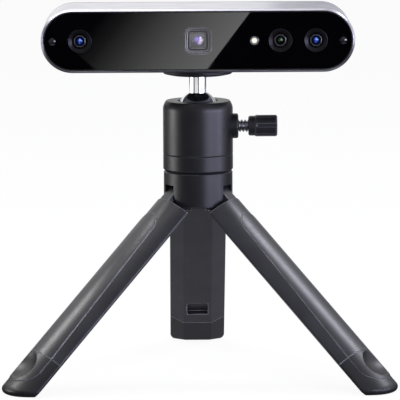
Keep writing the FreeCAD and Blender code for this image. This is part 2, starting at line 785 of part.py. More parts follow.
def place_cylinder(name, radius, start, length, x, z):
    """A plain cylinder that points backwards."""
    item = doc.addObject("Part::Cylinder", name)
    item.Radius = radius.number
    item.Height = length.number
    bind(item, "Radius", radius)
    bind(item, "Height", length)
    place(item, x=x, y=start, z=scanner_middle + z, rotation=BACKWARD)
    return item


def make_cover_screws():
    """Four socket screws as one group of separate solids."""
    screws = []
    head_seat = cover_rear - d.screw_recess
    for number, (x, z) in enumerate(POSTS, start=1):
        whole = doc.addObject("Part::Fuse", "ScrewBlank%d" % number)
        whole.Base = place_cylinder("ScrewShank%d" % number, d.screw_width / 2,
                                    head_seat - d.screw_reach, d.screw_reach + d.bevel, x, z)
        whole.Tool = place_cylinder("ScrewHead%d" % number, d.screw_head / 2, head_seat,
                                    d.screw_head_height, x, z)
        key = doc.addObject("Part::Prism", "ScrewKey%d" % number)
        key.Polygon = 6
        key.Circumradius = (d.screw_key / 2).number
        bind(key, "Circumradius", d.screw_key / 2)
        key.Height = d.screw_head_height.number
        bind(key, "Height", d.screw_head_height)
        place(key, x=x, y=head_seat + d.bevel, z=scanner_middle + z, rotation=BACKWARD)
        screw = doc.addObject("Part::Cut", "Screw%d" % number)
        screw.Base, screw.Tool = whole, key
        screws.append(screw)
    group = doc.addObject("Part::Compound", "rear_cover_screws")
    group.Links = screws
    group.Label = "rear_cover_screws"
    parts.append(group)


make_cover()
make_controls()
make_cover_screws()

# ---------------------------------------------------------------- platform, ball and seat

ball_radius = d.ball_width / 2
cup_radius = ball_radius + d.ball_gap
stem_radius = d.stem_width / 2
stud_radius = d.stud_width / 2
bore_radius = head_radius - d.housing_wall
seat_radius = bore_radius - d.ball_gap
seat_foot = seat_radius - d.flank_run
flank_slope = d.flank_run / (d.flank_foot_drop - d.flank_top_drop)
flank_at_clamp = seat_foot + flank_slope * (d.flank_foot_drop - d.clamp_drop)


def make_platform():
    """The round table under the scanner, and the rubber disc on it."""
    hole = stud_radius + d.thread_gap
    thickness = d.platform_thickness
    plate = turned("platform_plate",
                   ((hole, 0), (head_radius - d.platform_bevel, 0),
                    (head_radius - d.bevel, thickness / 4), (head_radius, thickness / 2),
                    (head_radius, thickness), (hole, thickness)))
    place(plate, z=platform_bottom)
    edge = head_radius - d.pad_inset
    inner = hole + d.pad_hole_gap
    rubber = turned("platform_pad",
                    ((inner, 0), (edge, 0), (edge, d.pad_thickness), (inner, d.pad_thickness)))
    place(rubber, z=platform_top)


def make_ball_stem():
    """Ball, stem and camera thread are one turned piece."""
    top = d.stem_rise + d.platform_thickness + d.pad_thickness + d.stud_reach
    body = turned("ball_stem",
                  ((stem_radius, side(ball_radius, stem_radius), 0, 0, TURN_LEFT),
                   (stem_radius, d.stem_rise), (stud_radius, d.stem_rise),
                   (stud_radius, top - d.bevel), (stud_radius - d.bevel, top), (0, top),
                   (0, -ball_radius)))
    place(body, z=ball_height)


def make_seat():
    """The cup under the ball; the clamp pushes on its slanting flank and lifts it."""
    rim = -d.seat_rim_drop
    bottom = -d.seat_bottom_drop
    body = turned("ball_seat",
                  ((0, bottom), (seat_foot, bottom), (seat_foot, -d.flank_foot_drop),
                   (seat_radius, -d.flank_top_drop), (seat_radius, rim),
                   (side(cup_radius, rim), rim),
                   (0, -cup_radius, 0, 0, TURN_RIGHT)))
    place(body, z=ball_height)


def make_spring():
    """A disc spring between the base and the cup."""
    bottom = base_top + d.spigot_height
    rise = ball_height - d.seat_bottom_drop - bottom - d.pin_gap
    wide = seat_foot - d.edge_break
    narrow = wide - 3 * d.flank_run / 5
    thickness = d.spring_thickness
    body = turned("seat_spring",
                  ((wide - 2 * thickness, 0), (wide, 0), (narrow, rise),
                   (narrow - 2 * thickness, rise), (narrow - 2 * thickness, rise - thickness)))
    place(body, z=bottom)


make_platform()
make_ball_stem()
make_seat()
make_spring()

# ---------------------------------------------------------------- housing and clamp

clamp_height = ball_height - d.clamp_drop
spot_face = side(head_radius, d.collar_width / 2)
collar_reach = head_radius + d.collar_stand


def make_housing():
    """The clamp housing: a deep cup upside down, whose lip holds the ball from above."""
    top = d.housing_height
    middle = top - d.ball_setdown
    inset = d.rim_inset
    shoulder = bow_radius(d.shoulder_drop, inset)
    rim = head_radius - inset
    lip = side(cup_radius, d.lip_rise)
    ceiling = middle + d.ceiling_rise
    body = turned("ball_housing",
                  ((head_radius - d.edge_break, 0), (head_radius, d.edge_break),
                   (head_radius, top - d.shoulder_drop),
                   (rim, top, head_radius - shoulder, top - d.shoulder_drop, TURN_LEFT),
                   (lip + d.lip_flare, top), (lip, middle + d.lip_rise),
                   (side(cup_radius, d.ceiling_rise), ceiling, 0, middle, TURN_RIGHT),
                   (bore_radius, ceiling), (bore_radius, 0)))
    centre = clamp_height - base_top
    pocket(body, "YZ_Plane", [], head_radius - spot_face, lift=spot_face, reverse=True,
           circles=[(0, centre, d.collar_width + d.screw_gap)])
    pocket(body, "YZ_Plane", [], head_radius + OVERRUN, reverse=True,
           circles=[(0, centre, d.collar_width - 2 * d.collar_shoulder)])
    place(body, z=base_top)


def make_base():
    """The ring under the housing, with a spigot inside it and the crown bolt's thread."""
    hole = d.bolt_width / 2 + d.seat_gap
    spigot = bore_radius - d.pin_gap
    high = d.base_height
    body = turned("housing_base",
                  ((hole, 0), (head_radius - d.base_bevel, 0), (head_radius, d.base_bevel),
                   (head_radius, high - d.edge_break), (head_radius - d.edge_break, high),
                   (spigot, high), (spigot, high + d.spigot_height),
                   (hole, high + d.spigot_height)))
    place(body, z=crown_top)


def make_clamp():
    """Collar, screw with its loose nose, and the moulded knob, all along +X."""
    nose = flank_at_clamp + d.ball_gap
    screw = d.clamp_width / 2
    shoe = screw - d.edge_break
    shoe_end = nose + flank_slope * shoe + d.bevel
    collar = d.collar_width / 2
    spigot = collar - d.collar_shoulder - d.pin_gap
    bore = screw + d.pin_gap
    inside = bore_radius + d.screw_gap
    knob_start = collar_reach + d.knob_gap
    depth = knob_start + d.knob_bore
    pieces = [turned("clamp_shoe", ((0, nose), (d.edge_break, nose + d.edge_break * flank_slope),
                                    (shoe, nose + flank_slope * shoe), (shoe, shoe_end),
                                    (0, shoe_end)))]
    pieces.append(turned("clamp_collar", ((bore, inside), (spigot, inside), (spigot, spot_face),
                                          (collar, spot_face), (collar, collar_reach - d.bevel),
                                          (collar - d.bevel, collar_reach),
                                          (bore, collar_reach))))
    pieces.append(turned("clamp_screw", ((0, shoe_end), (screw - d.edge_break, shoe_end),
                                         (screw, shoe_end + d.edge_break), (screw, depth),
                                         (0, depth))))
    pieces.append(make_knob(screw, knob_start, depth))
    for body in pieces:
        place(body, z=clamp_height, rotation=SIDEWAYS)


def make_knob(screw, start, depth):
    """The knob: a plain neck and a fluted grip, blind-bored for the screw."""
    neck = d.knob_neck_width / 2
    grip = d.knob_width / 2
    grip_start = start + d.knob_neck
    grip_end = grip_start + d.knob_length
    knob = turned("clamp_knob", ((screw, start), (neck - d.bevel, start),
                                 (neck, start + d.bevel), (neck, grip_start - d.edge_break),
                                 (grip, grip_start), (grip, grip_end - d.bevel),
                                 (grip - d.bevel, grip_end), (0, grip_end), (0, depth),
                                 (screw, depth)))
    centre = grip + d.flute_width / 2 - d.flute_depth
    flute = pocket(knob, "XY_Plane", [], d.knob_length + OVERRUN, lift=grip_start + d.bevel,
                   circles=[(centre * cosine(d.flute_turn), centre * sine(d.flute_turn),
                             d.flute_width)], reverse=True)
    repeat_round(knob, [flute], int(d.knob_flutes.number))
    return knob


make_housing()
make_base()
make_clamp()

# ---------------------------------------------------------------- crown of the tripod

leg_radius = head_radius - d.leg_inset
band_radius = leg_radius + d.band_rise
foot_seam = d.leg_length - d.foot_length
slot_half = d.tongue_width / 2 + d.slot_gap
tongue_face = head_radius - d.tongue_inset
stop_arm = tongue_face - hinge_radius
pin_bore = 2 * (side(head_radius, hinge_radius) - d.pin_inset)
slot_top = stop_arm * sine(d.leg_splay) + d.tongue_rise * cosine(d.leg_splay) + d.stop_gap
LEGS = (("front_left", 210), ("front_right", 330), ("rear", 90))


def make_crown():
    """Three lobes between three leg slots, under a flange that the head stands on."""
    radius = head_radius - d.crown_inset
    bottom = -d.lobe_drop
    well = d.bolt_head / 2 + d.well_gap
    hole = d.bolt_width / 2 + d.bolt_gap
    recess = slot_top + d.bolt_head_height + d.bolt_gap
    body = turned("tripod_crown",
                  ((well, bottom), (radius - d.bevel, bottom), (radius, bottom + d.bevel),
                   (radius, d.crown_rise - d.bevel), (radius - d.bevel, d.crown_rise),
                   (hole, d.crown_rise), (hole, recess), (well, recess)))
    flare = slot_half + d.lobe_round
    corner = bottom + d.lobe_round
    outline = ((slot_half, corner, flare, corner, TURN_RIGHT), (slot_half, slot_top),
               (-slot_half, slot_top), (-slot_half, corner),
               (-flare, bottom, -flare, corner, TURN_RIGHT),
               (-flare, bottom - OVERRUN), (flare, bottom - OVERRUN), (flare, bottom))
    slot = pocket(body, "XZ_Plane", [outline], radius + OVERRUN)
    bore = pocket(body, "YZ_Plane", [], pin_bore, both_ways=True,
                  circles=[(hinge_radius, 0, d.pin_width)])
    repeat_round(body, [slot, bore], 3)
    place(body, z=hinge_height)


def make_crown_bolt():
    """The bolt that holds the head on the crown from below, with a hexagon socket."""
    head = d.bolt_head / 2
    shank = d.bolt_width / 2
    start = slot_top + d.bolt_gap
    shoulder = start + d.bolt_head_height
    end = d.crown_rise + d.base_height - d.bevel
    body = turned("crown_bolt",
                  ((head - d.edge_break, start), (head, start + d.edge_break),
                   (head, shoulder), (shank, shoulder), (shank, end - d.bevel),
                   (shank - d.bevel, end), (0, end), (0, start)))
    pocket(body, "XY_Plane", [hexagon(d.bolt_key / 2)], d.bolt_key_depth, lift=start,
           reverse=True)
    place(body, z=hinge_height)


def hexagon(apothem):
    """A regular hexagon with two level sides."""
    half = apothem / math.sqrt(3)
    return ((half, -apothem), (2 * half, 0), (half, apothem), (-half, apothem),
            (-2 * half, 0), (-half, -apothem))


make_crown()
make_crown_bolt()

# ---------------------------------------------------------------- legs, feet and pins


def leg_place(body, azimuth):
    """Legs are drawn folded, beside the axis with the hinge at height 0, then splayed."""
    out = hinge_radius - hinge_radius * cosine(d.leg_splay)
    height = hinge_height - hinge_radius * sine(d.leg_splay)
    heading = Size(azimuth)
    turn_out = Rotation(Vector(0, 1, 0), -d.leg_splay.number)
    turn_round = Rotation(Vector(0, 0, 1), azimuth)
    place(body, x=out * cosine(heading), y=out * sine(heading), z=height,
          rotation=turn_round.multiply(turn_out))


def leg_section():
    """A third of a round bar with its inner corner cut away."""
    half_angle = 60 - arc_sine(d.leg_gap / leg_radius)
    x = leg_radius * cosine(half_angle)
    y = leg_radius * sine(half_angle)
    inner = d.leg_core * math.sqrt(3) - 2 * d.leg_gap
    return ((d.leg_core, -inner), (x, -y), (x, y, 0, 0, TURN_LEFT), (d.leg_core, inner))


def corner_edge(edge):
    """The long corners of a leg or foot, which run along it."""
    return spans(edge, 2) and edge.Length > 2 * d.foot_round.number


def pad_band(body, outline, bottom, top, seam):
    """Raise the thin outer band of a leg: pad its outline, turn it down and round its edge."""
    floor = side(leg_radius, d.band_flare / 2) - OVERRUN
    pad(body, "YZ_Plane", [outline], band_radius + OVERRUN - floor, lift=floor)
    turn(body, [box_loop(band_radius, band_radius + d.band_flare / 2, bottom, top)],
         kind="Groove")

    def band_edge(edge):
        points = [edge.valueAt(edge.FirstParameter), edge.valueAt(edge.LastParameter),
                  edge.valueAt((edge.FirstParameter + edge.LastParameter) / 2)]
        on_band = all(near(math.hypot(point.x, point.y), band_radius) for point in points)
        return on_band and not all(near(point.z, seam) for point in points)

    round_edges(body, d.band_round, band_edge)


def make_leg(name, azimuth):
    """A leg: its long section, the raised band, the hinge tongue and the notch inside."""
    body = new_body(name + "_leg")
    shoulder = -d.shoulder_setback
    seam = -foot_seam
    pad(body, "XY_Plane", [leg_section()], shoulder - seam, lift=seam)
    round_edges(body, d.leg_round, corner_edge)
    top = d.band_width / 2
    flare = d.band_flare / 2
    start = -d.band_top - top
    pad_band(body, ((-flare, seam), (flare, seam), (top, start),
                    (-top, start, 0, start, TURN_LEFT)), seam - OVERRUN, shoulder, seam)
    make_tongue(body, shoulder - OVERRUN)
    notch = seam + d.notch_rise
    pocket(body, "YZ_Plane", [box_loop(-d.notch_width / 2, d.notch_width / 2, notch,
                                       notch + d.notch_length)],
           d.leg_core + d.notch_depth, reverse=True)
    leg_place(body, azimuth)


def make_tongue(body, foot):
    """The hinge tongue: round about the pin, with a square heel that stops the leg."""
    hinge = hinge_radius
    reach = d.tongue_round
    back = hinge - d.leg_core
    heel = side(reach, d.tongue_rise)
    outline = ((tongue_face, foot), (tongue_face, d.tongue_rise),
               (hinge + heel, d.tongue_rise),
               (d.leg_core, side(reach, back), hinge, 0, TURN_LEFT),
               (d.leg_core, foot))
    pad(body, "XZ_Plane", [outline], d.tongue_width, both_ways=True)
    pocket(body, "XZ_Plane", [], d.tongue_width + 2 * OVERRUN, both_ways=True,
           circles=[(hinge, 0, d.pin_width + 2 * d.pin_gap)])


def sole_at(radius):
    """Height of the level sole under a point of the folded leg."""
    rise = (size(radius) - hinge_radius) * sine(d.leg_splay)
    return -(hinge_height + rise) / cosine(d.leg_splay)


def make_foot(name, azimuth):
    """The rubber end of a leg: a round nose, a level sole and a thumb scoop outside."""
    body = new_body(name + "_foot")
    seam = -foot_seam - d.seam_gap
    end = sole_at(leg_radius) - 2 * OVERRUN
    wide = band_radius + 3 * OVERRUN
    pad(body, "XY_Plane", [leg_section()], seam - end, lift=end)
    nose_round = leg_radius - d.nose_start
    nose = sole_at(leg_radius) + nose_round + d.nose_lift
    turn(body, [((leg_radius, nose),
                 (d.nose_start, nose - nose_round, d.nose_start, nose, TURN_RIGHT),
                 (d.nose_start, end - OVERRUN), (wide, end - OVERRUN), (wide, nose))],
         kind="Groove")
    below = end - wide
    pocket(body, "XZ_Plane", [((0, sole_at(0)), (0, below), (wide, below),
                               (wide, sole_at(wide)))], 2 * wide, both_ways=True)
    round_edges(body, d.foot_round, sole_edge)
    round_edges(body, d.leg_round, corner_edge)
    flare = d.band_flare / 2
    start = seam - d.foot_band_length
    pad_band(body, ((flare, seam), (-flare, seam), (-flare, start),
                    (flare, start, 0, start, TURN_LEFT)), end - OVERRUN, seam, seam)
    cut_scoop(body, seam - d.scoop_margin - d.scoop_length / 2)
    leg_place(body, azimuth)


def cut_scoop(body, middle):
    """The thumb scoop: a dish turned about an axis that stands outside the leg."""
    floor = band_radius - d.scoop_depth
    half = d.scoop_length / 2
    across = side(band_radius, d.scoop_width / 2) - floor
    belly = bow_radius(d.scoop_width / 2, across)
    hollow = bow_radius(half, d.scoop_depth)
    end = belly - d.scoop_depth
    turn(body, [((end, middle - half), (end, middle + half, belly - hollow, middle, TURN_LEFT),
                 (0, middle + half), (0, middle - half))],
         kind="Groove", shift=floor + belly)


def sole_edge(edge):
    """Edges of the level sole, but for the straight heel nearest the axis."""
    points = [edge.valueAt(edge.FirstParameter), edge.valueAt(edge.LastParameter),
              edge.valueAt((edge.FirstParameter + edge.LastParameter) / 2)]
    on_sole = all(near(point.z, sole_at(point.x)) for point in points)
    return on_sole and not near(max(point.x for point in points), d.leg_core)


def make_pin(name, azimuth):
    """A plain steel pin across the slot."""
    radius = d.pin_width / 2
    half = pin_bore / 2 - d.pin_gap
    body = turned(name + "_hinge_pin",
                  ((0, -half), (radius - d.edge_break, -half), (radius, d.edge_break - half),
                   (radius, half - d.edge_break), (radius - d.edge_break, half), (0, half)))
    heading = Size(azimuth)
    across = Rotation(Vector(0, 0, 1), azimuth).multiply(Rotation(Vector(1, 0, 0), 90))
    place(body, x=hinge_radius * cosine(heading), y=hinge_radius * sine(heading),
          z=hinge_height, rotation=across)


for leg_name, leg_azimuth in LEGS:
    make_leg(leg_name, leg_azimuth)
    make_foot(leg_name, leg_azimuth)
    make_pin(leg_name, leg_azimuth)

# ---------------------------------------------------------------- centre, check and write

doc.recompute()
whole = FreeCAD.BoundBox()
for part in parts:
    whole.add(part.Shape.optimalBoundingBox(False))
sheet.set("B%d" % len(DIMENSIONS), "%.4f" % -whole.Center.y)
doc.recompute()

for item in doc.Objects:
    if "Invalid" in item.State or "Error" in item.State:
        raise ValueError("failed: " + item.Label)
for part in parts:
    if part.Shape.isNull() or not part.Shape.isValid():
        raise ValueError("bad shape: " + part.Label)

os.makedirs("parts", exist_ok=True)
for part in parts:
    part.Shape.exportStep("parts/" + part.Label + ".step")
print("pieces:", len(parts), "axis_y:", round(-whole.Center.y, 4))
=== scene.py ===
import math
import bpy
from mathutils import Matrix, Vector


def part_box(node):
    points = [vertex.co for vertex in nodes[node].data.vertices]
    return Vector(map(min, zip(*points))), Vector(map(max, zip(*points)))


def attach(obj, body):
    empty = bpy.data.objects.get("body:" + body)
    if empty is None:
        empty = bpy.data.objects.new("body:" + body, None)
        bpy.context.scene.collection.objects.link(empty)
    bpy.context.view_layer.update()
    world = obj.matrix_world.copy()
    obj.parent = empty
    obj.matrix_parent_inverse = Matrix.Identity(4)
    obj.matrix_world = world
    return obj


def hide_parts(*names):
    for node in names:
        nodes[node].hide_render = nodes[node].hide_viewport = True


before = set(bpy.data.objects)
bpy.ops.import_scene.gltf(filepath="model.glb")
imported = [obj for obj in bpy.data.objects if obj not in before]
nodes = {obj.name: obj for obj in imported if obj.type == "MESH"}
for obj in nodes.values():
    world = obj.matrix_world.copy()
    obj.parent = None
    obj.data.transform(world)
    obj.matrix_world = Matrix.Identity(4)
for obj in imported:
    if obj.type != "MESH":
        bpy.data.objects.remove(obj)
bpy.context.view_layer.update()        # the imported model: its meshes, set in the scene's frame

# ---------------------------------------------------------------- camera
# A long lens nearly level with the tripod's crown, looking a little down, square to the
# scanner's face but for half a degree.
MM = 0.001               # a millimetre in the scene's metres


def middle(node):
    """The middle of a CAD node's box."""
    low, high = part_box(node)
    return (low + high) / 2


# the camera aims at the tripod's axis, just above the crown
tripod_y = middle("housing_base").y
aim = Vector((0.85 * MM, tripod_y, 87.3 * MM))
heading, pitch, reach = math.radians(-0.518), math.radians(7.973), 1.811
roll, field = math.radians(-0.25), math.radians(6.26)
stand = aim + reach * Vector((math.sin(heading) * math.cos(pitch),
                              -math.cos(heading) * math.cos(pitch), math.sin(pitch)))
bpy.ops.object.camera_add(location=stand)
camera = bpy.context.object
camera.rotation_euler = (aim - stand).to_track_quat("-Z", "Y").to_euler()
camera.rotation_euler.rotate_axis("Z", roll)
camera.data.angle = field
camera.data.clip_end = 40
bpy.context.scene.camera = camera
bpy.context.scene.view_settings.view_transform = "Standard"

# ---------------------------------------------------------------- white room
# A pale table top that runs on into a white background. Lamps and cards are large and soft;
# the cards are seen only in glossy surfaces and draw the bands that show their form.


def linear(code):
    """An sRGB hex colour as linear red, green, blue and full alpha."""
    channels = [int(code[i:i + 2], 16) / 255 for i in (1, 3, 5)]
    return tuple(c / 12.92 if c <= 0.04045 else ((c + 0.055) / 1.055) ** 2.4
                 for c in channels) + (1.0,)


def add(tree, kind, inputs=(), stops=(), **options):
    """Add a node: its options by name, its sockets as values or as links from other sockets."""
    node = tree.nodes.new("ShaderNode" + kind)
    for name, value in options.items():
        setattr(node, name, value)
    for name, value in dict(inputs).items():
        if isinstance(value, bpy.types.NodeSocket):
            tree.links.new(value, node.inputs[name])
        else:
            node.inputs[name].default_value = value
    if stops:
        points = node.color_ramp.elements
        for extra in stops[2:]:
            points.new(extra[0])
        for point, (place, code) in zip(points, stops):
            point.position = place
            point.color = linear(code)
    return node


def seen_directly(tree):
    """1 for rays from the camera, from a mirror or through glass, 0 for scattered light."""
    rays = add(tree, "LightPath").outputs
    either = add(tree, "Math", {0: rays["Is Camera Ray"], 1: rays["Is Glossy Ray"]},
                 operation="MAXIMUM")
    return add(tree, "Math", {0: either.outputs[0], 1: rays["Is Transmission Ray"]},
               operation="MAXIMUM").outputs[0]


# the room looks plain white, and lights the object at less than half of that
ROOM_LIGHT, WHITE = 0.40, 1.0
room = bpy.data.worlds.new("white room")
bpy.context.scene.world = room
room.use_nodes = True
tree = room.node_tree
tree.nodes.clear()
soft_light = add(tree, "Background", {"Color": linear("#ffffff"), "Strength": ROOM_LIGHT})
white_view = add(tree, "Background", {"Color": linear("#ffffff"), "Strength": WHITE})
mixed = add(tree, "MixShader", {0: seen_directly(tree), 1: soft_light.outputs[0],
                                2: white_view.outputs[0]})
add(tree, "OutputWorld", {"Surface": mixed.outputs[0]})

# Paper that is lit from behind: nearly all of what is seen is its glow, and the rest is matt
# and takes the object's shadow. It lies a tenth of a millimetre under the feet.
TABLE_SIZE, TABLE_Z, GLOW_SHARE = 24, -0.1 * MM, 0.93
bpy.ops.mesh.primitive_plane_add(size=TABLE_SIZE, location=(0, 0, TABLE_Z))
table = bpy.context.object
table.name = "table"
paper = bpy.data.materials.new("white paper sweep")
paper.use_nodes = True
tree = paper.node_tree
tree.nodes.clear()
matt = add(tree, "BsdfDiffuse", {"Color": linear("#f4f4f6")})
glow = add(tree, "Emission", {"Color": linear("#ffffff"), "Strength": WHITE})
share = add(tree, "Math", {0: seen_directly(tree), 1: GLOW_SHARE}, operation="MULTIPLY")
mixed = add(tree, "MixShader", {0: share.outputs[0], 1: matt.outputs[0], 2: glow.outputs[0]})
add(tree, "OutputMaterial", {"Surface": mixed.outputs[0]})
table.data.materials.append(paper)


def soft_box(name, place, width, height, watts, tint, glossy=True):
    """A soft box that faces the middle of the tripod."""
    place = Vector(place)
    bpy.ops.object.light_add(type="AREA", location=place)
    light = bpy.context.object
    light.name = name
    light.rotation_euler = (aim - place).to_track_quat("-Z", "Y").to_euler()
    light.data.shape = "RECTANGLE"
    light.data.size = width
    light.data.size_y = height
    light.data.energy = watts
    light.data.color = linear(tint)[:3]
    light.visible_camera = False
    light.visible_glossy = glossy


# low boxes draw the upright bands on the housing, high strips the bands along legs and sleeve
soft_box("left soft box", (-0.80, -0.02, 0.08), 0.34, 0.16, 1.4, "#ffffff")
soft_box("right soft box", (0.78, -0.26, 0.12), 0.26, 0.22, 1.9, "#dcdcff")
soft_box("right wide box", (0.58, -0.70, 0.16), 0.56, 0.30, 4.2, "#dedeff")
soft_box("left high strip", (-0.84, 0.20, 1.06), 0.30, 0.42, 6.4, "#ffffff")
soft_box("right high strip", (0.84, 0.20, 1.06), 0.30, 0.42, 7.6, "#f0f0ff")
soft_box("right key", (0.62, -0.95, 0.62), 0.36, 0.36, 3.6, "#ffffff", glossy=False)
soft_box("top soft box", (-0.22, -0.16, 1.10), 0.52, 0.40, 2.6, "#ffffff")
soft_box("front fill", (-0.20, -1.30, 0.24), 0.80, 0.40, 2.4, "#ffffff", glossy=False)


def mirror_card(card, shade):
    """Make a mesh a card that only glossy surfaces see, so that their form reads."""
    card.visible_camera = card.visible_diffuse = card.visible_shadow = False
    card.visible_transmission = False
    material = bpy.data.materials.new(card.name)
    material.use_nodes = True
    tree = material.node_tree
    tree.nodes.clear()
    shine = add(tree, "Emission", {"Color": linear(shade), "Strength": 1.0})
    add(tree, "OutputMaterial", {"Surface": shine.outputs[0]})
    card.data.materials.append(material)
    return tree, shine


def flat_card(name, place, width, height, shade, rotation=(0, 0, 0)):
    """A flat mirror card: lying, unless it is turned."""
    bpy.ops.mesh.primitive_plane_add(size=1, location=place, rotation=rotation)
    card = bpy.context.object
    card.name = name
    card.scale = (width, height, 1)
    mirror_card(card, shade)


def flag(name, turn, away, z, width, height, shade):
    """An upright card around the tripod: its turn is from the front, in degrees."""
    angle = math.radians(turn)
    place = Vector((away * math.sin(angle), -away * math.cos(angle), z))
    flat_card(name, place, width, height, shade, rotation=(math.pi / 2, 0, angle))


# A hood over the front half: dark low down, then a grey band that the sleeve's top mirrors
# when it is seen from behind.
HOOD_RADIUS, HOOD_FRONT, HOOD_TOP = 1.6, -0.25, 1.2
bpy.ops.mesh.primitive_uv_sphere_add(segments=48, ring_count=24, radius=HOOD_RADIUS,
                                     location=(0, 0, 0))
hood = bpy.context.object
hood.name = "front hood"
bpy.ops.object.mode_set(mode="EDIT")
bpy.ops.mesh.select_all(action="SELECT")
bpy.ops.mesh.bisect(plane_co=(0, 0, 0), plane_no=(0, 0, 1), clear_inner=True)
bpy.ops.mesh.select_all(action="SELECT")
bpy.ops.mesh.bisect(plane_co=(0, HOOD_FRONT, 0), plane_no=(0, -1, 0), clear_inner=True)
bpy.ops.object.mode_set(mode="OBJECT")
tree, shine = mirror_card(hood, "#2a2a2e")
height = add(tree, "SeparateXYZ", {0: add(tree, "TexCoord").outputs["Object"]}).outputs["Z"]
rise = add(tree, "MapRange", {"Value": height, "From Max": HOOD_TOP})
ramp = add(tree, "ValToRGB", {"Fac": rise.outputs[0]},
           stops=((0.0, "#3c3c42"), (0.13, "#26262c"), (0.21, "#84848a"), (0.50, "#96969c"),
                  (0.75, "#84848a"), (1.0, "#b4b4bc")))
tree.links.new(ramp.outputs[0], shine.inputs["Color"])

# felt on the table, and on it a pale card that brightens the underside of the rear leg
flat_card("felt", (0.125, -0.105, -0.06 * MM), 1.65, 1.75, "#4a4a50")
flat_card("card under the rear leg", (0.05, 0.055, -0.04 * MM), 0.25, 0.16, "#acacb4")

# a grey flag behind on either side keeps the tripod's and the sleeve's outlines dark
flag("left rear flag", -132, 1.3, 0.22, 1.15, 0.44, "#5c5c62")
flag("right rear flag", 132, 1.3, 0.22, 1.15, 0.44, "#74747c")

# a grey flag beside the scanner's left end takes the lamp off its bevel
flat_card("left end flag", (-0.12, -0.045, 0.170), 0.065, 0.17, "#8c8c92",
          rotation=(0, math.pi / 2, 0))

# a grey card behind the right end shades the right half of the sleeve's top
flat_card("right top flag", (0.26, 0.42, 0.27), 0.42, 0.17, "#9c9ca4",
          rotation=(math.pi / 2, 0, 0))

# three narrow flags draw the thin dark lines down the polished stem
flag("flag left", -47, 0.65, 0.06, 0.12, 0.12, "#08080a")
flag("flag centre", 9, 0.65, 0.06, 0.10, 0.12, "#08080a")
flag("flag right", 116, 0.65, 0.06, 0.18, 0.12, "#08080a")

# The card that the glass face mirrors: black, with a pale panel that grows brighter to the
# right and downwards and ends on a slant.
GLASS_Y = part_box("front_glass")[0].y
CARD_Y = -0.72
PANEL_Y = CARD_Y + 0.002
PANEL_STRENGTH = 2.8     # glass mirrors about a twenty-fifth of it


def mirrored(x, z, y=CARD_Y):
    """Where the card shows when the camera looks at that point of the glass, in mm."""
    x, z = x * MM, z * MM
    share = (GLASS_Y - y) / (GLASS_Y - stand.y)
    return Vector((x + (x - stand.x) * share, y, z + (z - stand.z) * share))


def glass_card(name, y, corners):
    """A flat card through the places where four points of the glass mirror it."""
    bpy.ops.mesh.primitive_plane_add()
    card = bpy.context.object
    card.name = name
    for vertex, corner in zip(card.data.vertices, corners):
        vertex.co = mirrored(*corner, y)
    return mirror_card(card, "#000000")


# corners run: low left, low right, high left, high right
glass_card("glass backdrop", CARD_Y, ((-90, 148), (90, 148), (-90, 189), (90, 189)))
tree, shine = glass_card("glass panel", PANEL_Y,
                         ((-44.4, 150), (1.0, 150), (-87.8, 187), (28.9, 187)))
shine.inputs["Strength"].default_value = PANEL_STRENGTH
at = add(tree, "TexCoord").outputs["Object"]
slant = Vector((1, 0, -0.8))
along = add(tree, "VectorMath", {0: at, 1: slant}, operation="DOT_PRODUCT")
dark_end = mirrored(-50.4, 176, PANEL_Y).dot(slant)
light_end = mirrored(30.0, 176, PANEL_Y).dot(slant)
fade = add(tree, "MapRange", {"Value": along.outputs["Value"], "From Min": dark_end,
                              "From Max": light_end})
ramp = add(tree, "ValToRGB", {"Fac": fade.outputs[0]},
           stops=((0.0, "#0c0c0c"), (0.145, "#464646"), (0.29, "#7b7b7b"), (0.435, "#a7a7a7"),
                  (0.58, "#cacaca"), (0.73, "#e3e3e3"), (0.87, "#f9f9f9"), (1.0, "#ffffff")))
tree.links.new(ramp.outputs[0], shine.inputs["Color"])


def new_finish(name, shade="#808080", metallic=0.0, roughness=0.5, ior=1.5, **extra):
    """A material with its shader: constant values sit on the shader's own sockets."""
    material = bpy.data.materials.new(name)
    material.use_nodes = True
    tree = material.node_tree
    shader = tree.nodes["Principled BSDF"]
    shader.inputs["Base Color"].default_value = linear(shade)
    shader.inputs["Metallic"].default_value = metallic
    shader.inputs["Roughness"].default_value = roughness
    shader.inputs["IOR"].default_value = ior
    for name, value in extra.items():
        shader.inputs[name.replace("_", " ")].default_value = value
    return material, tree, shader


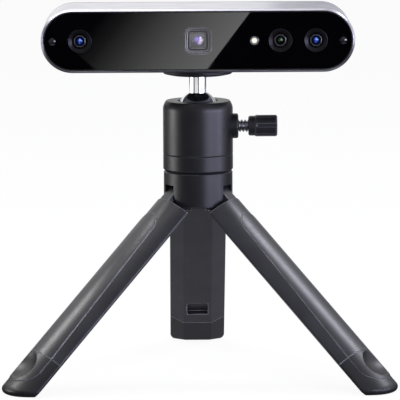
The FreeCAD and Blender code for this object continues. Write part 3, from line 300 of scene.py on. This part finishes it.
def skin(tree, shader, dull, bright, gloss, grain, depth, patch=14.0, edge_wear_and_highlight=None, edge=0.25):
    """Surface detail: cloudy colour, uneven gloss, fine grain, and paler edges: partly wear,
    partly painted highlight lines.

    Gloss is the range of roughness. Grain, depth, patch and edge are in millimetres.
    """
    # clouds of colour a patch across, and smears of gloss about half as wide
    at = add(tree, "TexCoord").outputs["Object"]
    cloud = add(tree, "TexNoise", {"Vector": at, "Scale": 1 / (patch * MM), "Detail": 4.0})
    tint = add(tree, "ValToRGB", {"Fac": cloud.outputs[0]},
               stops=((0.34, dull), (0.66, bright)))
    shade = tint.outputs[0]
    smear = add(tree, "TexNoise", {"Vector": at, "Scale": 1 / (patch * 0.45 * MM),
                                   "Detail": 5.0, "Distortion": 0.6})
    sheen = add(tree, "MapRange", {"Value": smear.outputs[0], "From Min": 0.3, "From Max": 0.7,
                                   "To Min": gloss[0], "To Max": gloss[1]})
    tree.links.new(sheen.outputs[0], shader.inputs["Roughness"])
    # grain as relief, over edges that are rounded off
    speck = add(tree, "TexNoise", {"Vector": at, "Scale": 1 / (grain * MM), "Detail": 2.0})
    round_off = add(tree, "Bevel", {"Radius": edge * MM}, samples=4)
    relief = add(tree, "Bump", {"Height": speck.outputs[0], "Strength": 1.0,
                                "Distance": depth * MM, "Normal": round_off.outputs[0]})
    tree.links.new(relief.outputs[0], shader.inputs["Normal"])
    if edge_wear_and_highlight:
        # where the rounded edge turns away from the flat face, the skin is painted paler,
        # unevenly: partly wear, partly painted highlight lines along the edges
        flat = add(tree, "NewGeometry").outputs["Normal"]
        agree = add(tree, "VectorMath", {0: flat, 1: round_off.outputs[0]},
                    operation="DOT_PRODUCT")
        paler_edge_mask = add(tree, "MapRange", {"Value": agree.outputs["Value"], "From Min": 0.995,
                                      "From Max": 0.84, "To Min": 0.0, "To Max": 0.9})
        uneven = add(tree, "MapRange", {"Value": smear.outputs[0], "From Min": 0.3,
                                        "From Max": 0.7, "To Min": 0.5, "To Max": 1.0})
        patchy = add(tree, "Math", {0: paler_edge_mask.outputs[0], 1: uneven.outputs[0]},
                     operation="MULTIPLY", use_clamp=True)
        shade = add(tree, "Mix", {"Factor": patchy.outputs[0], 6: shade, 7: linear(edge_wear_and_highlight)},
                    data_type="RGBA").outputs[2]
    tree.links.new(shade, shader.inputs["Base Color"])
    return at, shade


def dress(material, *names):
    """Give CAD nodes their finish."""
    for name in names:
        for holder in nodes[name].material_slots:
            holder.material = material


# blasted and anodised: an even soft metal whose highlights spread into wide bands; its grain
# is drawn a little coarse
silver, tree, shader = new_finish("anodised aluminium, bead blasted", metallic=1.0)
at, shade = skin(tree, shader, "#c8c8cf", "#d5d5dc", (0.29, 0.33), 0.30, 0.0008, edge_wear_and_highlight="#e4e4ea")
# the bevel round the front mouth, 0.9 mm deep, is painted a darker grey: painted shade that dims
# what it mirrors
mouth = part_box("scanner_shell")[0].y
back = add(tree, "SeparateXYZ", {0: at}).outputs["Y"]
cut = add(tree, "MapRange", {"Value": back, "From Min": mouth + 0.85 * MM,
                             "From Max": mouth + 0.95 * MM})
painted_bevel_shade = add(tree, "Mix", {"Factor": cut.outputs[0], 6: linear("#b4b4bc"), 7: shade},
           data_type="RGBA")
tree.links.new(painted_bevel_shade.outputs[2], shader.inputs["Base Color"])
dress(silver, "scanner_shell")

# ---------------------------------------------------------------- bezel and glass
# A black moulded frame is clipped into the sleeve's mouth and holds the tempered glass, which
# is printed black on its back and bonded in.

# ABS from a polished mould: a satin black with soft, slightly cloudy highlights
black_abs, tree, shader = new_finish("ABS, satin black")
skin(tree, shader, "#101013", "#17171b", (0.30, 0.42), 0.20, 0.003)
dress(black_abs, "front_bezel")

# tempered soda glass over a black print: a sharp mirror, with wiped smudges 17 mm across
cover_glass, tree, shader = new_finish("tempered glass, black printed back", "#020203",
                                       roughness=0.015, ior=1.52)
at = add(tree, "TexCoord").outputs["Object"]
smudge = add(tree, "TexNoise", {"Vector": at, "Scale": 60.0, "Detail": 5.0, "Distortion": 1.2})
wiped = add(tree, "MapRange", {"Value": smudge.outputs[0], "From Min": 0.45, "From Max": 0.75,
                               "To Min": 0.01, "To Max": 0.03})
tree.links.new(wiped.outputs[0], shader.inputs["Roughness"])
dress(cover_glass, "front_glass")

# ---------------------------------------------------------------- cameras
# Each camera has a turned aluminium ring let into the glass, a stepped throat with eight
# flats, and a small coated lens at its bottom.


def deselect():
    """Let go of everything, because an operator acts on all that is selected."""
    bpy.ops.object.select_all(action="DESELECT")


def settle(piece, body, finish, smooth=35):
    """Fix a finished piece: place in its mesh, normals out, shaded, and riding on its body."""
    deselect()
    piece.select_set(True)
    bpy.context.view_layer.objects.active = piece
    bpy.ops.object.transform_apply(location=True, rotation=True, scale=True)
    bpy.ops.object.mode_set(mode="EDIT")
    bpy.ops.mesh.select_all(action="SELECT")
    bpy.ops.mesh.remove_doubles(threshold=1e-7)
    bpy.ops.mesh.normals_make_consistent(inside=False)
    bpy.ops.object.mode_set(mode="OBJECT")
    bpy.ops.object.shade_smooth_by_angle(angle=math.radians(smooth))
    piece.data.materials.clear()
    piece.data.materials.append(finish)
    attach(piece, body)


def pick(piece, test):
    """Select the vertices whose place passes a test, and stay in edit mode."""
    bpy.ops.object.mode_set(mode="EDIT")
    bpy.ops.mesh.select_all(action="DESELECT")
    bpy.ops.object.mode_set(mode="OBJECT")
    for vertex in piece.data.vertices:
        vertex.select = test(vertex.co)
    bpy.ops.object.mode_set(mode="EDIT")


def draw_rings(profile, sides):
    """Circles of a radius and a depth in millimetres, each drawn out of the one before."""
    radius, depth = profile[0]
    bpy.ops.mesh.primitive_circle_add(vertices=sides, radius=radius * MM,
                                      location=(0, 0, -depth * MM),
                                      rotation=(0, 0, math.pi / sides))
    bpy.ops.object.mode_set(mode="EDIT")
    for (old, near), (new, far) in zip(profile, profile[1:]):
        bpy.ops.mesh.extrude_edges_move(
            TRANSFORM_OT_translate={"value": (0, 0, (near - far) * MM)})
        bpy.ops.transform.resize(value=(new / old, new / old, 1))


# The round part runs from the floor of the well over the dished rim to the back; the throat
# of eight flats runs from the same floor to the same back, and two flat rings join them.
ROUND = ((3.10, 0.95), (3.80, 0.95), (3.80, 0.70), (3.94, 0.60), (5.44, 0.04), (5.60, 0.0),
         (5.72, 0.10), (5.72, 1.25), (4.78, 1.25), (4.78, 2.28), (2.70, 2.28))
THROAT = ((2.98, 0.95), (2.92, 0.54), (2.72, 0.46), (2.24, 1.20), (2.16, 2.28))
TURNED, FLATS = 64, 8    # sides
floor, back = -ROUND[0][1] * MM, -ROUND[-1][1] * MM
join = 3.3 * MM          # the rings to join lie within this radius
deselect()
bpy.ops.mesh.primitive_circle_add(vertices=TURNED, radius=ROUND[0][0] * MM,
                                  location=(0, 0, 0))
ring = bpy.context.object
bpy.ops.object.mode_set(mode="EDIT")
bpy.ops.mesh.delete(type="VERT")
draw_rings(ROUND, TURNED)
draw_rings(THROAT, FLATS)
for level in (floor, back):
    pick(ring, lambda at: abs(at.z - level) < 1e-5 and at.xy.length < join)
    bpy.ops.mesh.fill()
bpy.ops.object.mode_set(mode="OBJECT")

# each point's step, for the finish: the lip of the throat, the dished rim, or the well
LIP, DISH, WELL = 1.0, 0.5, 0.0
step = ring.data.attributes.new("step", "FLOAT", "POINT")
for vertex in ring.data.vertices:
    away, down = vertex.co.xy.length / MM, -vertex.co.z / MM
    step.data[vertex.index].value = (LIP if away < 2.95 and down < 0.6
                                     else WELL if down > 0.65 and away < 4.0 else DISH)
ring.rotation_euler = (math.pi / 2, 0, 0)

# turned and anodised black: a dull dark metal, the well darkened to nearly black as painted
# shade, the lip a lighter grey
ring_black, tree, shader = new_finish("anodised aluminium, black, turned", metallic=0.85)
shade = skin(tree, shader, "#1e1e20", "#29292c", (0.28, 0.40), 0.12, 0.003,
             edge_wear_and_highlight="#8c8c90", edge=0.12)[1]
# painted shade: the points of the well are darkened to nearly black
steps = add(tree, "Attribute", attribute_name="step").outputs["Fac"]
depth = add(tree, "ValToRGB", {"Fac": steps},
            stops=((WELL, "#0c0c0e"), (DISH, "#ffffff"), (LIP, "#ffffff")))
painted_well_shade = add(tree, "Mix", {"Factor": 1.0, 6: shade, 7: depth.outputs[0]}, data_type="RGBA",
          blend_type="MULTIPLY")
rim = add(tree, "MapRange", {"Value": steps, "From Min": DISH, "From Max": LIP})
grey = add(tree, "Mix", {"Factor": rim.outputs[0], 6: painted_well_shade.outputs[2], 7: linear("#77777e")},
           data_type="RGBA")
tree.links.new(grey.outputs[2], shader.inputs["Base Color"])

ring_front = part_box("left_camera_ring")[0].y
for side in ("left", "colour", "right"):
    copy = ring.copy()
    copy.data = ring.data.copy()
    bpy.context.collection.objects.link(copy)
    copy.name = side + "_camera_bezel"
    place = middle(side + "_camera_ring")
    copy.location = (place.x, ring_front, place.z)
    settle(copy, "scanner_head", ring_black, smooth=25)
    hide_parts(side + "_camera_ring")
bpy.data.objects.remove(ring)


def lens_finish(name, centre, rim, deep, film, painted_reflections):
    """A small coated lens: a dark pupil with painted reflections of the elements behind it.

    A gleam is a soft painted reflection: across, up and radius as shares of the rim, and its
    colour. Film is the coating's thickness in nanometres.
    """
    material, tree, shader = new_finish(name, roughness=0.03, ior=1.6,
                                        Thin_Film_Thickness=film, Thin_Film_IOR=1.38)
    at = add(tree, "TexCoord").outputs["Object"]
    wave = add(tree, "TexNoise", {"Vector": at, "Scale": 900.0, "Detail": 2.0})
    pupil = add(tree, "ValToRGB", {"Fac": wave.outputs[0]},
                stops=((0.35, "#030308"), (0.65, deep)))
    shade = pupil.outputs[0]
    for across, up, radius, glow in painted_reflections:
        reflection_spot = centre + Vector((across * rim, 0, up * rim))
        local = add(tree, "Mapping", {"Vector": at, "Location": -reflection_spot})
        flat = add(tree, "VectorMath", {0: local.outputs[0], 1: (1, 0, 1)},
                   operation="MULTIPLY")
        away = add(tree, "VectorMath", {0: flat.outputs[0]}, operation="LENGTH")
        near = add(tree, "MapRange", {"Value": away.outputs["Value"],
                                      "From Min": radius * rim, "From Max": 0.3 * radius * rim})
        shade = add(tree, "Mix", {"Factor": near.outputs[0], 6: shade, 7: linear(glow)},
                    data_type="RGBA").outputs[2]
    tree.links.new(shade, shader.inputs["Base Color"])
    return material


# painted reflections: a broad blue over the pupil, a light spot high and a weaker one low; faint
# green ones in the other
BLUE = ((0.05, 0.0, 0.95, "#08226c"), (0.06, 0.26, 0.42, "#6a9af0"),
        (-0.05, -0.42, 0.30, "#3c5cb4"))
GREEN = ((0.22, 0.22, 0.42, "#2c6a54"), (-0.3, -0.1, 0.36, "#12382a"))
LENS_RIM = 1.95 * MM
for side, deep, film, painted_reflections in (("left", "#04103c", 420.0, BLUE),
                                 ("colour", "#04100a", 260.0, GREEN),
                                 ("right", "#04103c", 420.0, BLUE)):
    glass = lens_finish("coated lens, " + side, middle(side + "_camera_lens"), LENS_RIM,
                        deep, film, painted_reflections)
    dress(glass, side + "_camera_lens")

# painted barrels, out of sight behind the glass: matt, so that no stray light shows
barrel_black, tree, shader = new_finish("black enamel, matt")
skin(tree, shader, "#0b0b0d", "#121215", (0.55, 0.7), 0.25, 0.006)
dress(barrel_black, "left_camera_barrel", "colour_camera_barrel", "right_camera_barrel",
      "projector_barrel")

# ---------------------------------------------------------------- light projector
# A square well, moulded in steps from polycarbonate and set in an opening of the glass. It
# holds a pane of thin glass and the projector's violet lens.

# black polycarbonate, fine spark-eroded texture: grey black, with painted white highlight lines
# at the steps
well_black, tree, shader = new_finish("polycarbonate, black, eroded texture")
skin(tree, shader, "#242427", "#303033", (0.30, 0.40), 0.18, 0.004, edge_wear_and_highlight="#ffffff", edge=0.28)
dress(well_black, "projector_frame")

# polished optical glass: clear, with a light dust that dulls it in places
pane, tree, shader = new_finish("optical glass, clear pane", "#f2f3f6", roughness=0.01,
                                ior=1.45, Transmission_Weight=1.0)
at = add(tree, "TexCoord").outputs["Object"]
dust = add(tree, "TexNoise", {"Vector": at, "Scale": 700.0, "Detail": 3.0})
haze = add(tree, "MapRange", {"Value": dust.outputs[0], "From Min": 0.5, "From Max": 0.9,
                              "To Min": 0.0, "To Max": 0.05})
tree.links.new(haze.outputs[0], shader.inputs["Roughness"])
dress(pane, "projector_window")

# painted reflections: violet all over, a lilac spot high on the left and a white crescent down
# the right
VIOLET = ((0.0, 0.0, 1.3, "#2c2c96"), (-0.2, 0.25, 0.5, "#8c8cff"),
          (0.62, -0.05, 0.5, "#ffffff"), (0.38, -0.5, 0.55, "#f4e0ff"),
          (0.5, 0.45, 0.32, "#ffffff"))
dress(lens_finish("coated lens, projector", middle("projector_lens"), 2.6 * MM, "#181850",
                  480.0, VIOLET), "projector_lens")

# ---------------------------------------------------------------- flash and fill lamps
# The flash is a cream phosphor chip under a lens with fine rings, in a thin steel ring. A
# clear domed lamp sits at each end of the face.

# phosphor under clear silicone: cream yellow, darker at the rim, with moulded rings
LENS_RINGS = 0.36 * MM
cream, tree, shader = new_finish("phosphor under clear silicone", "#f6f2e6", roughness=0.3,
                                 Coat_Weight=0.15, Coat_Roughness=0.2)
at = add(tree, "TexCoord").outputs["Object"]
local = add(tree, "Mapping", {"Vector": at, "Location": -middle("flash_led")})
flat = add(tree, "VectorMath", {0: local.outputs[0], 1: (1, 0, 1)}, operation="MULTIPLY")
away = add(tree, "VectorMath", {0: flat.outputs[0]}, operation="LENGTH")
turns = add(tree, "Math", {0: away.outputs["Value"], 1: 2 * math.pi / LENS_RINGS},
            operation="MULTIPLY")
waves = add(tree, "Math", {0: turns.outputs[0]}, operation="SINE")
groove = add(tree, "Bump", {"Height": waves.outputs[0], "Distance": 0.02 * MM,
                            "Strength": 1.0})
tree.links.new(groove.outputs[0], shader.inputs["Normal"])
out = add(tree, "MapRange", {"Value": away.outputs["Value"], "From Max": 1.7 * MM})
ramp = add(tree, "ValToRGB", {"Fac": out.outputs[0]},
           stops=((0.0, "#f2e8bc"), (0.55, "#efe9d4"), (0.78, "#b4ae98"), (1.0, "#5c584c")))
tree.links.new(ramp.outputs[0], shader.inputs["Base Color"])
dress(cream, "flash_led")

# fine turned steel: a thin grey ring with a soft glint
bright_ring, tree, shader = new_finish("steel, fine turned", metallic=1.0)
skin(tree, shader, "#8c8c92", "#a8a8ae", (0.25, 0.35), 0.10, 0.002)
dress(bright_ring, "flash_ring")

# smoke grey epoxy under a clear skin: nearly black, with a painted paler reflection low down
clear_lamp, tree, shader = new_finish("epoxy lens, smoke grey", roughness=0.08,
                                      Coat_Weight=1.0, Coat_Roughness=0.02)
at = add(tree, "TexCoord").outputs["Object"]
depth = add(tree, "SeparateXYZ", {0: at}).outputs["Z"]
low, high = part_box("left_fill_led")
fade = add(tree, "MapRange", {"Value": depth, "From Min": low.z, "From Max": high.z})
ramp = add(tree, "ValToRGB", {"Fac": fade.outputs[0]},
           stops=((0.0, "#3a3a40"), (0.3, "#08080a"), (1.0, "#0a0a0c")))
tree.links.new(ramp.outputs[0], shader.inputs["Base Color"])
dress(clear_lamp, "left_fill_led", "right_fill_led")

# ---------------------------------------------------------------- inside the scanner
# A die-cast bulkhead carries the optics; boards, a finned plate and the brass bush are
# fixed to it and to the sleeve.

# as cast: a dull grey metal with a slightly uneven skin
cast, tree, shader = new_finish("die-cast aluminium", metallic=1.0)
skin(tree, shader, "#8e8f93", "#a6a7ab", (0.45, 0.6), 0.5, 0.02)
dress(cast, "optics_bracket", "heat_spreader")

# glass-epoxy board under a green solder mask: glossy, with copper tracks 0.5 mm apart
green_board, tree, shader = new_finish("glass-epoxy board, solder mask", roughness=0.35)
at = add(tree, "TexCoord").outputs["Object"]
tracks = add(tree, "TexBrick", {"Vector": at, "Scale": 1.0, "Brick Width": 4 * MM,
                                "Row Height": 0.5 * MM, "Mortar Size": 0.12 * MM,
                                "Color1": linear("#0f4a2c"), "Color2": linear("#0c3f26"),
                                "Mortar": linear("#2a7a4e")})
tree.links.new(tracks.outputs[0], shader.inputs["Base Color"])
lift = add(tree, "Bump", {"Height": tracks.outputs[1], "Distance": 0.03 * MM})
tree.links.new(lift.outputs[0], shader.inputs["Normal"])
dress(green_board, "mainboard", "button_board")

# turned brass: warm yellow metal with fine tool marks
brass, tree, shader = new_finish("brass, turned", metallic=1.0)
skin(tree, shader, "#b08a3e", "#c9a253", (0.25, 0.4), 0.15, 0.004)
dress(brass, "tripod_insert", "clamp_shoe")

# ---------------------------------------------------------------- rear cover and controls
# A moulded cap with a fine eroded texture; three buttons, a status light, a data socket and
# four socket screws.

# eroded mould: a matt charcoal black whose grain breaks up the highlights
cover_black, tree, shader = new_finish("ABS, black, eroded texture")
skin(tree, shader, "#1d1d21", "#27272c", (0.42, 0.54), 0.35, 0.02, edge_wear_and_highlight="#4a4a50")
dress(cover_black, "rear_cover")

# smooth caps: lighter and glossier than the cover, so that they stand out
button_black, tree, shader = new_finish("polycarbonate, satin black")
skin(tree, shader, "#2c2c31", "#37373d", (0.3, 0.4), 0.2, 0.004, edge_wear_and_highlight="#6a6a70")
dress(button_black, "dimmer_button", "scan_button", "brighter_button")

# frosted acrylic: milky white, light sinks in a millimetre
light_pipe, tree, shader = new_finish("acrylic light pipe, frosted", roughness=0.35,
                                      Subsurface_Weight=0.3, Subsurface_Scale=1.0 * MM)
skin(tree, shader, "#d4dad2", "#e6ebe4", (0.3, 0.4), 0.2, 0.003)
dress(light_pipe, "status_light")

# turned stainless: bright grey, faint tool marks; the clamp screw has it too
steel, tree, shader = new_finish("stainless steel, turned", metallic=1.0)
skin(tree, shader, "#9c9da1", "#b4b5b9", (0.22, 0.34), 0.15, 0.003)
dress(steel, "usb_socket", "seat_spring", "front_left_hinge_pin", "front_right_hinge_pin",
      "rear_hinge_pin")

# black oxide: dark grey metal that goes bare at its edges
black_steel, tree, shader = new_finish("steel, black oxide", metallic=0.9)
skin(tree, shader, "#2a2a2c", "#3a3a3d", (0.32, 0.46), 0.2, 0.005, edge_wear_and_highlight="#77777b")
dress(black_steel, "rear_cover_screws", "crown_bolt")

# ---------------------------------------------------------------- platform
# A turned aluminium table, anodised black, that turns on the top of the stem. The scanner
# stands on its rubber disc.

# satin anodising: a deep grey black, its rim rubbed lighter
platform_black, tree, shader = new_finish("anodised aluminium, black, satin", metallic=0.6)
skin(tree, shader, "#17171a", "#222226", (0.34, 0.44), 0.2, 0.004, edge_wear_and_highlight="#6c6c72")
dress(platform_black, "platform_plate")

# moulded rubber: flat black, no highlight
disc_rubber, tree, shader = new_finish("rubber, moulded", roughness=0.8, ior=1.45)
skin(tree, shader, "#121214", "#1c1c1f", (0.7, 0.85), 0.3, 0.02)
dress(disc_rubber, "platform_pad")

# ---------------------------------------------------------------- ball and its seat
# Ball and stem are one turned piece, polished and chrome plated. The cup under the ball is
# acetal.

# chrome: a clear mirror with a faint haze in patches 6 mm across
chrome, tree, shader = new_finish("chrome plate, polished", metallic=1.0)
at = add(tree, "TexCoord").outputs["Object"]
haze = add(tree, "TexNoise", {"Vector": at, "Scale": 160.0, "Detail": 4.0})
film = add(tree, "MapRange", {"Value": haze.outputs[0], "From Min": 0.35, "From Max": 0.75,
                              "To Min": 0.03, "To Max": 0.09})
tree.links.new(film.outputs[0], shader.inputs["Roughness"])
shine = add(tree, "ValToRGB", {"Fac": haze.outputs[0]},
            stops=((0.3, "#d9dade"), (0.7, "#e8e9ec")))
tree.links.new(shine.outputs[0], shader.inputs["Base Color"])
dress(chrome, "ball_stem")

# natural acetal: a waxy off-white
acetal, tree, shader = new_finish("acetal, white")
skin(tree, shader, "#d8d8d6", "#e6e6e4", (0.35, 0.45), 0.3, 0.004)
dress(acetal, "ball_seat")

# ---------------------------------------------------------------- housing and clamp
# The clamp housing, its base and the crown are turned aluminium with a satin charcoal
# lacquer. The collar is anodised black, the knob is moulded, the screw is steel.

# satin lacquer over metal: a smooth near black with wide soft bands
lacquer, tree, shader = new_finish("satin lacquer, charcoal, on aluminium")
skin(tree, shader, "#0c0c10", "#131317", (0.36, 0.40), 0.22, 0.0012, edge_wear_and_highlight="#5a5a62", edge=0.3)
dress(lacquer, "ball_housing", "housing_base", "tripod_crown")

# dull anodising: a little warmer and greyer than the lacquer
collar_black, tree, shader = new_finish("anodised aluminium, black, dull", metallic=0.3)
skin(tree, shader, "#111114", "#1a1a1e", (0.34, 0.44), 0.2, 0.004, edge_wear_and_highlight="#4c4c52", edge=0.4)
dress(collar_black, "clamp_collar")

# moulded nylon: black, with flutes whose edges carry painted pale highlight lines
knob_black, tree, shader = new_finish("nylon, black, moulded")
skin(tree, shader, "#0d0d10", "#151519", (0.32, 0.42), 0.3, 0.006, edge_wear_and_highlight="#6a6a72", edge=0.6)
dress(knob_black, "clamp_knob")

# The clamp screw has a coarse rolled thread that shows between collar and knob: half a
# pitch of its outline is turned round the axis, cut to length at both ends and capped.
PITCH, CREST, ROOT = 1.65 * MM, 3.0 * MM, 2.35 * MM
FLANK_CUTS, CREST_HALF = 5, 0.2 * PITCH
TURN_STEPS, SPARE_TURNS = 40, 3
low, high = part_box("clamp_screw")
length = high.x - low.x
deselect()
bpy.ops.mesh.primitive_plane_add(size=PITCH, location=(0, 0, 0))
thread = bpy.context.object
thread.name = "clamp_thread"
pick(thread, lambda at: at.y > 0)
bpy.ops.mesh.delete(type="VERT")
bpy.ops.mesh.select_all(action="SELECT")
bpy.ops.transform.translate(value=(0, PITCH / 2, ROOT))
bpy.ops.mesh.subdivide(number_cuts=FLANK_CUTS)
pick(thread, lambda at: abs(at.x) < CREST_HALF)
bpy.ops.transform.translate(value=(0, 0, CREST - ROOT))
bpy.ops.object.mode_set(mode="OBJECT")
screw = thread.modifiers.new("turns", "SCREW")
screw.axis = "X"
screw.screw_offset = PITCH
screw.iterations = int(length / PITCH) + SPARE_TURNS
screw.steps = screw.render_steps = TURN_STEPS
screw.use_merge_vertices = True
screw.merge_threshold = 1e-6
bpy.ops.object.modifier_apply(modifier="turns")
first = min(vertex.co.x for vertex in thread.data.vertices) + 1.5 * PITCH
bpy.ops.object.mode_set(mode="EDIT")
bpy.ops.mesh.select_all(action="SELECT")
bpy.ops.mesh.remove_doubles(threshold=1e-6)
for cut, side in ((first, 1), (first + length, -1)):
    bpy.ops.mesh.select_all(action="SELECT")
    bpy.ops.mesh.bisect(plane_co=(cut, 0, 0), plane_no=(side, 0, 0), use_fill=True,
                        clear_inner=True)
bpy.ops.object.mode_set(mode="OBJECT")
place = middle("clamp_screw")
thread.location = (low.x - first, place.y, place.z)
settle(thread, "clamp_screw", steel)
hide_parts("clamp_screw")

# ---------------------------------------------------------------- legs and feet
# Legs are glass-filled nylon, moulded with a satin skin and pinned in the crown; the feet
# are rubber over the same form.

# glass-filled nylon: a satin charcoal with painted pale highlight lines along the edges of its
# bands
nylon, tree, shader = new_finish("glass-filled nylon, satin charcoal", ior=1.53)
skin(tree, shader, "#17171b", "#1e1e23", (0.34, 0.38), 0.35, 0.0012, edge_wear_and_highlight="#b4b4bc", edge=0.5)
dress(nylon, "front_left_leg", "front_right_leg", "rear_leg")

# moulded rubber: darker than the leg and a little duller, with painted pale highlight lines
# along its edges
foot_rubber, tree, shader = new_finish("rubber, moulded, satin", ior=1.48)
skin(tree, shader, "#0d0d10", "#131316", (0.38, 0.43), 0.4, 0.0022, edge_wear_and_highlight="#8c8c94", edge=0.45)
dress(foot_rubber, "front_left_foot", "front_right_foot", "rear_foot")
